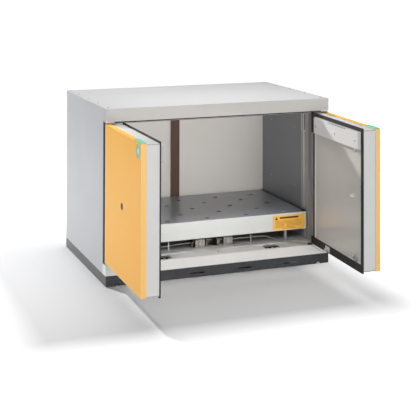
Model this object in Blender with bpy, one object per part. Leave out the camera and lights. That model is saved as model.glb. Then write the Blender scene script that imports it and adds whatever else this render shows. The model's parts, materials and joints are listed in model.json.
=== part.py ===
"""Under-bench flammable storage cabinet, two wing doors, shown with both doors open.

Frame of the part: metres, +Z up, front of the cabinet towards -Y.
Origin: centre of the footprint, on the underside of the plinth.
All dimensions below are millimetres, measured from the left outer side (X),
from the front plane of the fascia (Y, growing towards the back) and from the
underside of the plinth (Z); place() turns them into the part's own frame.
"""
import bpy
import bmesh
import math
from mathutils import Vector

for _ob in list(bpy.data.objects):
    bpy.data.objects.remove(_ob, do_unlink=True)

# ---------------------------------------------------------------- dimensions
WIDTH = 846.0
DEPTH = 555.0
HEIGHT = 600.0
SHEET = 1.5                 # outer sheet steel
THIN = 1.2                  # inner sheet steel
GAP = 0.3                   # clearance left between neighbouring pieces

PLINTH_H = 35.2
BODY_Z = PLINTH_H + GAP     # underside of the cabinet body
SILL_TOP = 70.0
FASCIA_Z = 555.4            # lower edge of the fascia
RETURN_D = 36.0             # depth of the fascia's and the sill's side returns
JAMB_Y = 66.5               # face the door seals close against
JAMB_BACK = 125.0
JAMB_X = 50.0               # clear edge of the door opening, each side
LINER_X = 47.0              # inner wall, each side
LINER_BACK = 488.0          # inner back wall
CEILING = 540.0

DOOR_W = 418.7
DOOR_Z0, DOOR_Z1 = 79.0, 548.0
SKIN_D = 17.6               # depth of the outer skin's return
BODY_D = 60.0               # door thickness without its seal
SEAL_D = 65.0               # door thickness with its seal
CASE_Z0, CASE_Z1 = 80.3, 545.7
PIVOT_A, PIVOT_D = 5.0, 6.0         # pivot, from the door's hinge corner
PIVOT_X, PIVOT_Y = 6.0, 6.0         # pivot, from the cabinet's front corner
OPEN_LEFT, OPEN_RIGHT = 90.8, 87.3  # degrees, as shown
PIN_R = 3.0

SEAL_Z0 = 74.3              # lower edge of the door seal's lip
WIRE_A, WIRE_D = 142.0, 71.6        # where the closer wire is held on the door
DRUM_R = 7.5                # winding radius of the closer drums
DRUM_X = (385.0, 494.0)     # left and right drum
DRUM_Y, DRUM_Z = 124.0, 83.0

LOCK_A, LOCK_Z = 209.7, 313.9
PEG_R = 14.142              # eccentric of the lock's peg, 20 mm bolt stroke

TRAY_X0, TRAY_X1 = 58.0, 788.0
TRAY_Y0, TRAY_Y1 = 67.0, 469.0
TRAY_Z0, TRAY_Z1 = 114.0, 176.0
HOLE_PITCH = 152.0
HOLE_R = 9.5
RISER_X = 418.0

K = 0.001
OX, OY = WIDTH / 2.0, DEPTH / 2.0


# ------------------------------------------------------------------ helpers
def material(name, rgb, rough, metal):
    mat = bpy.data.materials.new(name)
    mat.use_nodes = True
    node = mat.node_tree.nodes.get("Principled BSDF")
    node.inputs["Base Color"].default_value = (rgb[0], rgb[1], rgb[2], 1.0)
    node.inputs["Roughness"].default_value = rough
    node.inputs["Metallic"].default_value = metal
    mat.diffuse_color = (rgb[0], rgb[1], rgb[2], 1.0)
    return mat


LOOK = {
    "body_grey": ((0.62, 0.63, 0.65), 0.45, 0.0),
    "liner_grey": ((0.40, 0.39, 0.37), 0.45, 0.0),
    "anthracite": ((0.045, 0.05, 0.055), 0.5, 0.0),
    "yellow": ((0.95, 0.55, 0.17), 0.4, 0.0),
    "board": ((0.60, 0.57, 0.50), 0.9, 0.0),
    "rubber": ((0.02, 0.02, 0.02), 0.6, 0.0),
    "zinc": ((0.60, 0.61, 0.62), 0.35, 1.0),
    "steel": ((0.66, 0.65, 0.63), 0.28, 1.0),
    "brown": ((0.085, 0.04, 0.025), 0.5, 0.0),
    "green": ((0.22, 0.72, 0.50), 0.4, 0.0),
    "plastic": ((0.05, 0.05, 0.05), 0.5, 0.0),
}


def flat_frame(x, y, z):
    """Cabinet millimetres to the part's frame in metres."""
    return Vector(((x - OX) * K, (y - OY) * K, z * K))


def raw(bm, conv, faces_of):
    """Adds the closed shell faces_of = (points, faces) to bm."""
    pts, faces = faces_of
    vs = [bm.verts.new(conv(*p)) for p in pts]
    for f in faces:
        bm.faces.new([vs[i] for i in f])


def box(x0, x1, y0, y1, z0, z1):
    pts = [(x, y, z) for x in (x0, x1) for y in (y0, y1) for z in (z0, z1)]
    faces = [(0, 1, 3, 2), (4, 6, 7, 5), (0, 4, 5, 1),
             (2, 3, 7, 6), (0, 2, 6, 4), (1, 5, 7, 3)]
    return pts, faces


def lathe(axis, centre, profile, n=20):
    """Solid of revolution. profile: (distance along axis, radius) from end to end."""
    pts, faces = [], []
    for t, r in profile:
        for i in range(n):
            a = 2.0 * math.pi * i / n
            c, s = r * math.cos(a), r * math.sin(a)
            if axis == "Z":
                p = (centre[0] + c, centre[1] + s, centre[2] + t)
            elif axis == "Y":
                p = (centre[0] + c, centre[1] + t, centre[2] + s)
            else:
                p = (centre[0] + t, centre[1] + c, centre[2] + s)
            pts.append(p)
    for k in range(len(profile) - 1):
        for i in range(n):
            j = (i + 1) % n
            faces.append((k * n + i, k * n + j, (k + 1) * n + j, (k + 1) * n + i))
    faces.append(tuple(range(n - 1, -1, -1)))
    last = (len(profile) - 1) * n
    faces.append(tuple(range(last, last + n)))
    return pts, faces


def rod(axis, centre, length, r, n=20):
    return lathe(axis, centre, [(0.0, r), (length, r)], n)


def prism_x(outline, x0, x1):
    """Extrusion along X of a closed outline of (y, z) points."""
    m = len(outline)
    pts = [(x0, y, z) for y, z in outline] + [(x1, y, z) for y, z in outline]
    faces = [tuple(range(m)), tuple(range(2 * m - 1, m - 1, -1))]
    for i in range(m):
        j = (i + 1) % m
        faces.append((i, m + i, m + j, j))
    return pts, faces


def prism_z(outline, z0, z1):
    """Extrusion along Z of a closed outline of (x, y) points."""
    m = len(outline)
    pts = [(x, y, z0) for x, y in outline] + [(x, y, z1) for x, y in outline]
    faces = [tuple(range(m)), tuple(range(2 * m - 1, m - 1, -1))]
    for i in range(m):
        j = (i + 1) % m
        faces.append((i, m + i, m + j, j))
    return pts, faces


def sweep(path, radii, n=10):
    """Round bar along a path of points in the cabinet frame, one radius to a point."""
    pts, faces = [], []
    for k, p in enumerate(path):
        a = Vector(path[max(k - 1, 0)])
        b = Vector(path[min(k + 1, len(path) - 1)])
        t = (b - a).normalized()
        u = t.cross(Vector((0.0, 0.0, 1.0))).normalized()
        w = u.cross(t).normalized()
        for i in range(n):
            ang = 2.0 * math.pi * i / n
            q = Vector(p) + (u * math.cos(ang) + w * math.sin(ang)) * radii[k]
            pts.append((q.x, q.y, q.z))
    for k in range(len(path) - 1):
        for i in range(n):
            j = (i + 1) % n
            faces.append((k * n + i, k * n + j, (k + 1) * n + j, (k + 1) * n + i))
    faces.append(tuple(range(n - 1, -1, -1)))
    last = (len(path) - 1) * n
    faces.append(tuple(range(last, last + n)))
    return pts, faces


def mesh_of(name, shells, conv, smooth=False):
    bm = bmesh.new()
    for sh in shells:
        raw(bm, conv, sh)
    bmesh.ops.recalc_face_normals(bm, faces=bm.faces[:])
    me = bpy.data.meshes.new(name)
    bm.to_mesh(me)
    bm.free()
    if smooth:
        me.shade_smooth()
        me.set_sharp_from_angle(angle=math.radians(35.0))
    return me


def solid(name, look, base, steps=(), conv=flat_frame, origin=None, parent=None,
          turn=0.0, smooth=False):
    """One piece. steps are ("cut" | "add", [shells]) carried out in order."""
    shift = origin if origin is not None else Vector((0.0, 0.0, 0.0))

    def local(x, y, z):
        return conv(x, y, z) - shift

    ob = bpy.data.objects.new(name, mesh_of(name, [base], local, smooth))
    bpy.context.scene.collection.objects.link(ob)
    rgb, rough, metal = LOOK[look]
    ob.data.materials.append(material(name + "_finish", rgb, rough, metal))
    ob.location = shift
    ob.rotation_euler = (0.0, 0.0, turn)
    if parent is not None:
        ob.parent = parent
    for i, (kind, shells) in enumerate(steps):
        tool = bpy.data.objects.new(
            "tool_%s_%d" % (name, i),
            mesh_of("tool_%s_%d" % (name, i), shells, local, smooth))
        bpy.context.scene.collection.objects.link(tool)
        tool.location = shift
        tool.rotation_euler = (0.0, 0.0, turn)
        if parent is not None:
            tool.parent = parent
        tool.hide_render = True
        tool.display_type = "WIRE"
        mod = ob.modifiers.new("%s_%d" % (kind, i), "BOOLEAN")
        mod.solver = "EXACT"
        mod.operation = "DIFFERENCE" if kind == "cut" else "UNION"
        mod.object = tool
    return ob


def mirrored(x0, x1):
    """The same X range on the right-hand side."""
    return WIDTH - x1, WIDTH - x0


# -------------------------------------------------------------- plinth, feet
solid("plinth", "anthracite",
      box(0.5, WIDTH - 0.5, 0.0, DEPTH - 0.5, 0.0, PLINTH_H),
      [("cut", [box(3.0, WIDTH - 3.0, 2.5, DEPTH - 3.0, -1.0, PLINTH_H - 2.5)]),
       ("cut", [box(60.0, WIDTH - 60.0, 60.0, DEPTH - 60.0, 25.0, 40.0)]),
       ("add", [box(OX - 40.0, OX + 40.0, 1.0, DEPTH - 1.5, 0.0, 2.5)]),
       ("cut", [box(x - 27.0, x + 27.0, -1.0, 3.0, 12.0, 17.0)
                for x in (154.5, 333.5, 512.5, 691.5)]
        + [rod("Y", (x, -1.0, 1.6), 4.0, 6.5, 16) for x in (43.0, WIDTH - 43.0)])])

for tag, fx, fy in (("front_left", 43.0, 24.0), ("front_right", WIDTH - 43.0, 24.0),
                    ("rear_left", 43.0, DEPTH - 35.0), ("rear_right", WIDTH - 43.0, DEPTH - 35.0)):
    solid("levelling_foot_" + tag, "zinc",
          lathe("Z", (fx, fy, 0.0),
                [(0.0, 13.0), (4.5, 13.0), (7.0, 9.0), (7.0, 5.0), (32.2, 5.0)], 16),
          smooth=True)

# ---------------------------------------------------------------- outer case
solid("base_panel", "body_grey",
      box(1.8, WIDTH - 1.8, 1.8, DEPTH - 1.8, BODY_Z, BODY_Z + THIN))

for side in ("left", "right"):
    x0, x1 = (0.0, SHEET) if side == "left" else mirrored(0.0, SHEET)
    solid("side_panel_" + side, "body_grey",
          box(x0, x1, RETURN_D + GAP, DEPTH, BODY_Z, HEIGHT - SHEET - GAP))

solid("top_cover", "body_grey",
      box(0.0, WIDTH, 0.0, DEPTH, FASCIA_Z, HEIGHT),
      [("cut", [box(SHEET, WIDTH - SHEET, SHEET, DEPTH + 1.0,
                    FASCIA_Z + SHEET, HEIGHT - SHEET)]),
       ("cut", [box(-1.0, WIDTH + 1.0, RETURN_D, DEPTH + 2.0,
                    FASCIA_Z - 5.0, HEIGHT - SHEET)])])

solid("rear_panel", "body_grey",
      box(1.8, WIDTH - 1.8, DEPTH - SHEET, DEPTH, BODY_Z, HEIGHT - SHEET - GAP),
      [("cut", [rod("Y", (RISER_X, DEPTH - 5.0, 505.0), 10.0, 26.5, 24)])])

solid("front_sill", "body_grey",
      box(0.0, WIDTH, 0.0, 64.0, BODY_Z, SILL_TOP),
      [("cut", [box(SHEET, WIDTH - SHEET, SHEET, 65.0, BODY_Z - 2.0, SILL_TOP - THIN)]),
       ("cut", [box(-1.0, 1.8, RETURN_D, 66.0, BODY_Z - 2.0, SILL_TOP + 2.0),
                box(WIDTH - 1.8, WIDTH + 1.0, RETURN_D, 66.0, BODY_Z - 2.0, SILL_TOP + 2.0)]),
       ("cut", [box(189.0, 245.0, 12.0, 52.0, 60.0, 75.0),
                box(WIDTH - 245.0, WIDTH - 189.0, 12.0, 52.0, 60.0, 75.0)])])

solid("floor_pan", "body_grey",
      box(1.8, WIDTH - 1.8, 64.3, DEPTH - 1.8, SILL_TOP - THIN, SILL_TOP))

# ------------------------------------------------------- insulation boards
solid("base_board", "board",
      box(1.8, WIDTH - 1.8, 60.0, DEPTH - 1.8, BODY_Z + THIN + GAP, SILL_TOP - THIN - GAP))
solid("top_board", "board",
      prism_x([(2.0, 557.2), (68.2, 557.2), (68.2, 541.5), (DEPTH - 1.8, 541.5),
               (DEPTH - 1.8, HEIGHT - SHEET - GAP), (2.0, HEIGHT - SHEET - GAP)],
              1.8, WIDTH - 1.8))
for side in ("left", "right"):
    x0, x1 = (1.8, LINER_X - THIN - GAP)
    if side == "right":
        x0, x1 = mirrored(x0, x1)
    solid("side_board_" + side, "board",
          box(x0, x1, 68.0, DEPTH - 1.8, SILL_TOP + GAP, CEILING - GAP))
solid("rear_board", "board",
      box(LINER_X - THIN, WIDTH - LINER_X + THIN, LINER_BACK + GAP, DEPTH - 1.8,
          SILL_TOP + GAP, CEILING - GAP),
      [("cut", [rod("Y", (RISER_X, LINER_BACK - 1.0, 505.0), 80.0, 26.5, 24)])])

# ---------------------------------------------------------- inner sheets
for side in ("left", "right"):
    x0, x1 = (LINER_X - THIN, LINER_X)
    if side == "right":
        x0, x1 = mirrored(x0, x1)
    solid("side_liner_" + side, "liner_grey",
          box(x0, x1, 68.0, LINER_BACK, SILL_TOP + GAP, CEILING - GAP))
solid("rear_liner", "liner_grey",
      box(LINER_X + GAP, WIDTH - LINER_X - GAP, LINER_BACK - THIN, LINER_BACK,
          SILL_TOP + GAP, CEILING - GAP),
      [("cut", [box(RISER_X - 12.0, RISER_X + 12.0, LINER_BACK - 5.0, LINER_BACK + 5.0,
                    487.0, 523.0)])])
solid("ceiling_liner", "liner_grey",
      prism_x([(JAMB_Y, CEILING), (LINER_BACK, CEILING), (LINER_BACK, CEILING + THIN),
               (JAMB_Y + THIN, CEILING + THIN), (JAMB_Y + THIN, 556.9), (JAMB_Y, 556.9)],
              1.8, WIDTH - 1.8))

for side in ("left", "right"):
    def jx(x):
        return x if side == "left" else WIDTH - x
    outline = [(1.8, JAMB_Y), (JAMB_X, JAMB_Y), (JAMB_X, JAMB_BACK),
               (LINER_X + GAP, JAMB_BACK), (LINER_X + GAP, JAMB_BACK - THIN),
               (JAMB_X - THIN, JAMB_BACK - THIN), (JAMB_X - THIN, JAMB_Y + THIN),
               (1.8, JAMB_Y + THIN)]
    outline = [(jx(x), y) for x, y in outline]
    wx0, wx1 = sorted((jx(JAMB_X - 4.0), jx(JAMB_X + 2.0)))
    vents = [box(wx0, wx1, 96.0 + 7.0 * c, 99.0 + 7.0 * c,
                 466.0 + 8.0 * r, 471.0 + 8.0 * r)
             for c in range(2) for r in range(8)]
    slot = [box(wx0, wx1, 84.0, 89.0, 462.0, 532.0)]
    solid("jamb_" + side, "liner_grey",
          prism_z(outline, SILL_TOP + GAP, CEILING - GAP),
          [("cut", vents + slot)])

# ------------------------------------------------------------ frame seals
solid("header_seal", "rubber",
      box(32.0, WIDTH - 32.0, 1.8, 8.0, 551.5, 555.1))
for side in ("left", "right"):
    x0, x1 = (0.3, 3.4)
    if side == "right":
        x0, x1 = mirrored(x0, x1)
    solid("hinge_gap_seal_" + side, "rubber",
          box(x0, x1, 20.0, RETURN_D, 75.0, 550.0))

# ------------------------------------------------------------- extraction
solid("exhaust_riser", "brown",
      box(RISER_X - 16.0, RISER_X + 16.0, 473.0, LINER_BACK - THIN - GAP, 73.0, 538.0),
      [("cut", [box(RISER_X - 14.8, RISER_X + 14.8, 474.2, LINER_BACK - 2.0 * THIN - GAP,
                    70.0, 536.8)]),
       ("cut", [box(RISER_X - 12.0, RISER_X + 12.0, 480.0, LINER_BACK + 5.0, 487.0, 523.0)])])
solid("exhaust_collar", "zinc",
      rod("Y", (RISER_X, LINER_BACK + GAP, 505.0), DEPTH - LINER_BACK - GAP, 26.0, 24),
      [("cut", [rod("Y", (RISER_X, LINER_BACK + 2.0, 505.0), 80.0, 23.0, 24)]),
       ("cut", [box(RISER_X - 12.0, RISER_X + 12.0, LINER_BACK - 5.0, LINER_BACK + 5.0,
                    487.0, 523.0)])], smooth=True)

# --------------------------------------------------- door closing gear, fixed
FLOOR = SILL_TOP + GAP
solid("closer_block", "steel",
      box(352.0, 518.0, 106.0, 142.0, FLOOR, FLOOR + 2.5),
      [("add", [box(x - 18.0, x + 18.0, 112.0, 138.0, FLOOR + 1.0, 97.5) for x in DRUM_X]
        + [box(409.0, 430.0, 113.0, 135.0, FLOOR + 1.0, 95.0),
           box(451.0, 454.0, 110.0, 138.0, FLOOR + 1.0, 97.5),
           box(459.0, 472.0, 114.0, 134.0, FLOOR + 1.0, 93.0)]),
       ("cut", [box(x - 15.5, x + 15.5, 114.0, 136.0, FLOOR + 2.5, 100.0) for x in DRUM_X]
        + [box(411.5, 432.0, 110.0, 140.0, FLOOR + 4.5, 92.5),
           box(461.5, 475.0, 110.0, 140.0, FLOOR + 4.5, 90.5)]),
       ("cut", [rod("Y", (x, 110.0, DRUM_Z), 5.0, 8.6, 20) for x in DRUM_X]
        + [rod("Y", (x, 135.0, DRUM_Z), 6.0, 3.4, 16) for x in DRUM_X])])
for side, dx in (("left", DRUM_X[0]), ("right", DRUM_X[1])):
    at = flat_frame(dx, DRUM_Y, DRUM_Z)
    solid("closer_drum_" + side, "steel",
          lathe("Y", (dx, 111.0, DRUM_Z),
                [(0.0, 7.6), (1.0, 8.2), (5.0, 8.2), (6.0, DRUM_R), (19.0, DRUM_R),
                 (20.0, 8.2), (22.0, 8.2), (22.0, 3.0), (27.6, 3.0)], 24),
          [("cut", [box(dx - 0.9, dx + 0.9, 109.0, 112.6, DRUM_Z - 6.0, DRUM_Z + 6.0)])],
          origin=at, smooth=True)
for side in ("left", "right"):
    if side == "right":
        path = [(518.6, 121.0, 87.0), (587.0, 121.0, 86.6), (642.0, 121.0, 86.0),
                (652.0, 118.5, 84.5), (664.0, 111.0, 81.0), (680.0, 97.0, 76.2),
                (696.0, 80.0, 73.1), (718.0, 54.0, 72.1), (740.0, 31.0, 72.1),
                (757.0, 14.0, 72.1), (764.8, 8.4, 72.1)]
        post = 585.5
    else:
        path = [(351.4, 121.0, 87.6), (267.0, 121.0, 83.6), (204.0, 121.0, 81.0),
                (194.0, 118.5, 80.0), (182.0, 111.0, 78.0), (166.0, 97.0, 75.0),
                (150.0, 80.0, 73.0), (128.0, 54.0, 72.1), (106.0, 31.0, 72.1),
                (89.0, 14.0, 72.1), (81.2, 8.4, 72.1)]
        post = 265.0
    radii = [2.2, 2.2, 2.2, 2.2, 2.0, 1.8, 1.6, 1.6, 1.6, 1.6, 1.6]
    solid("closer_conduit_" + side, "zinc", sweep(path, radii, 8),
          [("add", [box(post, post + 4.0, 119.0, 123.0, FLOOR, 96.5)]),
           ("add", [box(post - 3.0, post + 7.0, 116.0, 126.0, FLOOR, FLOOR + 2.0)])])
    x0, x1 = (66.5, 79.5) if side == "left" else mirrored(66.5, 79.5)
    solid("wire_guide_" + side, "plastic",
          box(x0, x1, 1.0, 15.0, FLOOR, 73.9),
          [("cut", [box(x0 + 4.0, x0 + 9.0, 0.0, 4.0, FLOOR + 0.5, FLOOR + 2.9)])])

# --------------------------------------------------------- fixed hinge parts
for side in ("left", "right"):
    px = PIVOT_X if side == "left" else WIDTH - PIVOT_X
    x0, x1 = (0.5, 28.0) if side == "left" else mirrored(0.5, 28.0)
    solid("hinge_bracket_bottom_" + side, "zinc",
          box(x0, x1, 0.5, 24.0, FLOOR, FLOOR + 3.0),
          [("add", [lathe("Z", (px, PIVOT_Y, 71.0),
                          [(0.0, 5.0), (7.7, 5.0), (7.7, PIN_R), (24.0, PIN_R)], 16)])])
    solid("hinge_bracket_top_" + side, "zinc",
          box(x0, x1, 1.8, 24.0, 551.8, 554.9),
          [("add", [lathe("Z", (px, PIVOT_Y, 535.0),
                          [(0.0, PIN_R), (13.3, PIN_R), (13.3, 4.0), (18.0, 4.0)], 16)])])

# ------------------------------------------------ sump tray and its stand
solid("tray_stand", "liner_grey",
      box(117.0, 729.0, 113.0, 443.0, 107.7, 113.7),
      [("cut", [box(125.0, 721.0, 121.0, 435.0, 100.0, 120.0)]),
       ("add", [box(x, x + 8.0, y, y + 8.0, FLOOR, 110.0)
                for x in (117.0, 721.0) for y in (113.0, 435.0)])])
solid("sump_tray", "body_grey",
      box(TRAY_X0, TRAY_X1, TRAY_Y0, TRAY_Y1, TRAY_Z0, TRAY_Z1),
      [("cut", [box(TRAY_X0 + SHEET, TRAY_X1 - SHEET, TRAY_Y0 + SHEET, TRAY_Y1 - SHEET,
                    TRAY_Z0 + SHEET, TRAY_Z1 + 5.0)])])
holes = []
for row in range(5):
    first = 104.0 if row % 2 == 0 else 180.0
    for k in range(5 if row % 2 == 0 else 4):
        holes.append(rod("Z", (first + HOLE_PITCH * k, 103.0 + 76.0 * row, 170.0),
                         10.0, HOLE_R, 12))
solid("perforated_insert", "liner_grey",
      box(TRAY_X0 + 2.0, TRAY_X1 - 2.0, TRAY_Y0 + 2.0, TRAY_Y1 - 2.0, 150.0, 175.7),
      [("cut", [box(TRAY_X0 + 3.5, TRAY_X1 - 3.5, TRAY_Y0 + 3.5, TRAY_Y1 - 3.5,
                    145.0, 174.2)]),
       ("cut", holes)])


# -------------------------------------------------------------------- doors
def door(side):
    s = 1.0 if side == "left" else -1.0
    opening = -OPEN_LEFT if side == "left" else OPEN_RIGHT
    px = PIVOT_X if side == "left" else WIDTH - PIVOT_X
    axis = bpy.data.objects.new(side + "_door_axis", None)
    axis.location = flat_frame(px, PIVOT_Y, 0.0)
    axis.rotation_euler = (0.0, 0.0, math.radians(opening))
    bpy.context.scene.collection.objects.link(axis)
    pre = side + "_"

    def conv(a, d, z):
        """Door millimetres (along, deep, up) to the hinge axis's own frame."""
        return Vector((s * (a - PIVOT_A) * K, (d - PIVOT_D) * K, z * K))

    def piece(name, look, base, steps=(), **kw):
        return solid(pre + name, look, base, steps, conv=conv, parent=axis, **kw)

    pins = [rod("Z", (PIVOT_A, PIVOT_D, 70.0), 12.0, PIN_R + 0.3, 16),
            rod("Z", (PIVOT_A, PIVOT_D, 545.5), 5.0, PIN_R + 0.3, 16)]
    piece("door_skin", "yellow",
          box(0.0, DOOR_W, 0.0, SKIN_D, DOOR_Z0, DOOR_Z1),
          [("cut", [box(THIN, DOOR_W - THIN, THIN, SKIN_D + 2.0,
                        DOOR_Z0 + THIN, DOOR_Z1 - THIN)]),
           ("cut", pins + [rod("Y", (LOCK_A, -2.0, LOCK_Z), 5.0, 8.4, 24)])])
    piece("door_core", "board",
          box(4.5, 416.0, 1.5, 54.5, CASE_Z0 + 1.5, CASE_Z1 - 1.5),
          [("cut", [rod("Z", (PIVOT_A, PIVOT_D, 78.0), 20.0, 3.8, 12),
                    rod("Z", (PIVOT_A, PIVOT_D, 532.0), 20.0, 3.8, 12)]),
           ("cut", [rod("Y", (LOCK_A, -1.0, LOCK_Z), 26.0, 9.2, 16)]),
           ("cut", [box(191.0, 230.5, 23.0, 38.0, 285.0, 345.0)]),
           ("cut", [box(203.0, 216.4, 28.0, 38.0, 70.0, 286.0)])])
    piece("door_casing", "body_grey",
          box(3.0, 417.5, SKIN_D + 0.4, BODY_D, CASE_Z0, CASE_Z1),
          [("cut", [box(3.0 + THIN, 417.5 - THIN, 10.0, 54.8,
                        CASE_Z0 + THIN, CASE_Z1 - THIN)]),
           ("cut", [box(24.0, 397.0, 56.0, 65.0, 101.0, 537.0)]),
           ("cut", [box(203.0, 216.4, 28.0, 38.0, CASE_Z0 - 2.0, CASE_Z0 + 3.0)])])
    piece("door_seal", "rubber",
          box(3.5, 417.2, BODY_D + GAP, SEAL_D, SEAL_Z0, 551.0),
          [("cut", [box(22.0, 405.0, 55.0, 70.0, 99.0, 539.0)])])
    piece("cover_box", "body_grey",
          box(51.0, 404.5, BODY_D + GAP, 77.0, 482.0, 538.0),
          [("cut", [box(51.0 + THIN, 404.5 - THIN, 55.0, 77.0 - THIN,
                        482.0 + THIN, 538.0 - THIN)]),
           ("cut", [box(172.0 + 12.0 * k, 178.5 + 12.0 * k, 66.0, 73.0, 530.0, 545.0)
                    for k in range(12)])])
    piece("pull_tab", "green",
          box(340.0, 415.0, 0.4, 17.2, DOOR_Z1 + GAP, 551.0))
    piece("wire_bracket", "zinc",
          box(130.0, 163.0, SEAL_D + 0.4, SEAL_D + 2.4, 79.6, 97.4),
          [("add", [box(136.5, 147.5, SEAL_D + 1.5, 74.0, 80.2, 90.2),
                    box(152.5, 160.5, SEAL_D + 1.5, 75.5, 84.0, 93.0)]),
           ("cut", [rod("Y", (WIRE_A, SEAL_D + 1.4, 85.2), 12.0, 1.7, 12),
                    rod("Y", (156.5, SEAL_D + 3.4, 88.5), 12.0, 1.5, 12)])])

    # lock: a plug that turns a quarter, and the bolt that its peg drives
    plug_at = conv(LOCK_A, 1.0, LOCK_Z)
    c45 = PEG_R * math.cos(math.radians(45.0))
    piece("lock_plug", "steel",
                 lathe("Y", (LOCK_A, 0.0, LOCK_Z),
                       [(0.3, 7.4), (0.7, 8.0), (4.0, 8.0), (4.0, 7.0), (24.0, 7.0),
                        (24.0, 17.2), (27.2, 17.2)], 24),
                 [("add", [rod("Y", (LOCK_A + c45, 25.0, LOCK_Z + c45), 8.5, 2.5, 12)]),
                  ("cut", [box(LOCK_A - 0.8, LOCK_A + 0.8, -1.0, 2.6,
                               LOCK_Z - 4.5, LOCK_Z + 4.5)])],
                 origin=plug_at, smooth=True)
    bolt_at = conv(LOCK_A, 32.0, 80.6)
    piece("lock_bolt", "zinc",
                 box(LOCK_A - 4.5, LOCK_A + 4.5, 29.3, 35.3, 80.6, 325.0),
                 [("add", [box(LOCK_A - 8.0, LOCK_A + 20.0, 29.3, 35.3, 316.5, 331.5)]),
                  ("cut", [box(LOCK_A + 6.6, LOCK_A + 17.5, 27.0, 37.0,
                               LOCK_Z + c45 - 3.2, LOCK_Z + c45 + 3.2)])],
                 origin=bolt_at)


door("left")
door("right")
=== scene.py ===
"""Looks for the under-bench flammable storage cabinet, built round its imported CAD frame."""
import json
import math

import bmesh
import bpy
from mathutils import Matrix, Vector


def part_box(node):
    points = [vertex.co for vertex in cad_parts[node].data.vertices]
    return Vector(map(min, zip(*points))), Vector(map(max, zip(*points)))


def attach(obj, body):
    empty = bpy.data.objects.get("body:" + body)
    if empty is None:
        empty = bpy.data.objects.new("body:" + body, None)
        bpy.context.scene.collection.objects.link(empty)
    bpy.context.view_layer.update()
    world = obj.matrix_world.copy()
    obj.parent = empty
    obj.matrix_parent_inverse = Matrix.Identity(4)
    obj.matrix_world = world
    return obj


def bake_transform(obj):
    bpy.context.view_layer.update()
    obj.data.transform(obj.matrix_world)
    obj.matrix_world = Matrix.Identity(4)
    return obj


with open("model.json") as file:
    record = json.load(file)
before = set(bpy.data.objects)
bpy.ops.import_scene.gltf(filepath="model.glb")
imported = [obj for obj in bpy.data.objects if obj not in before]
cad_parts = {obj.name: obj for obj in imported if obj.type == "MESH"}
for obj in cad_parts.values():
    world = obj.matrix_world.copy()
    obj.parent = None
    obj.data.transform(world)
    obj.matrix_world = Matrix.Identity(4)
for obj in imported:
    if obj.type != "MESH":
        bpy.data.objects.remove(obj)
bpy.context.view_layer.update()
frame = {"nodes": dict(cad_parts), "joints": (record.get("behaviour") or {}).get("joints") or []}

NODES = frame["nodes"]
JOINTS = {j["name"]: j for j in frame["joints"]}
top_lo, top_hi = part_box("top_cover")
OX = -top_lo.x * 1000.0          # half the width, mm
OY = -top_lo.y * 1000.0          # half the depth, mm
W = 2.0 * OX
D = 2.0 * OY


# ------------------------------------------------------------------ placing
def P(x, y, z):
    """Cabinet millimetres (from left side, from front, from floor) to metres."""
    return Vector(((x - OX) / 1000.0, (y - OY) / 1000.0, z / 1000.0))


def door_matrix(side):
    j = JOINTS[side + "_door_hinge"]
    ang = math.radians(j["range_deg"][1])
    ang = -ang if side == "left" else ang
    px, py = j["pos_m"][0], j["pos_m"][1]
    return Matrix.Translation((px, py, 0.0)) @ Matrix.Rotation(ang, 4, "Z")


def DL(side):
    """Door millimetres (along, deep, up) to the shut door's own frame in metres."""
    s = 1.0 if side == "left" else -1.0
    return lambda a, d, z: Vector((s * (a - 5.0) / 1000.0, (d - 6.0) / 1000.0, z / 1000.0))


# ---------------------------------------------------------------- materials
def lin(c):
    c = c / 255.0
    return c / 12.92 if c <= 0.04045 else ((c + 0.055) / 1.055) ** 2.4


def rgb(r, g, b):
    return (lin(r), lin(g), lin(b), 1.0)


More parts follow.
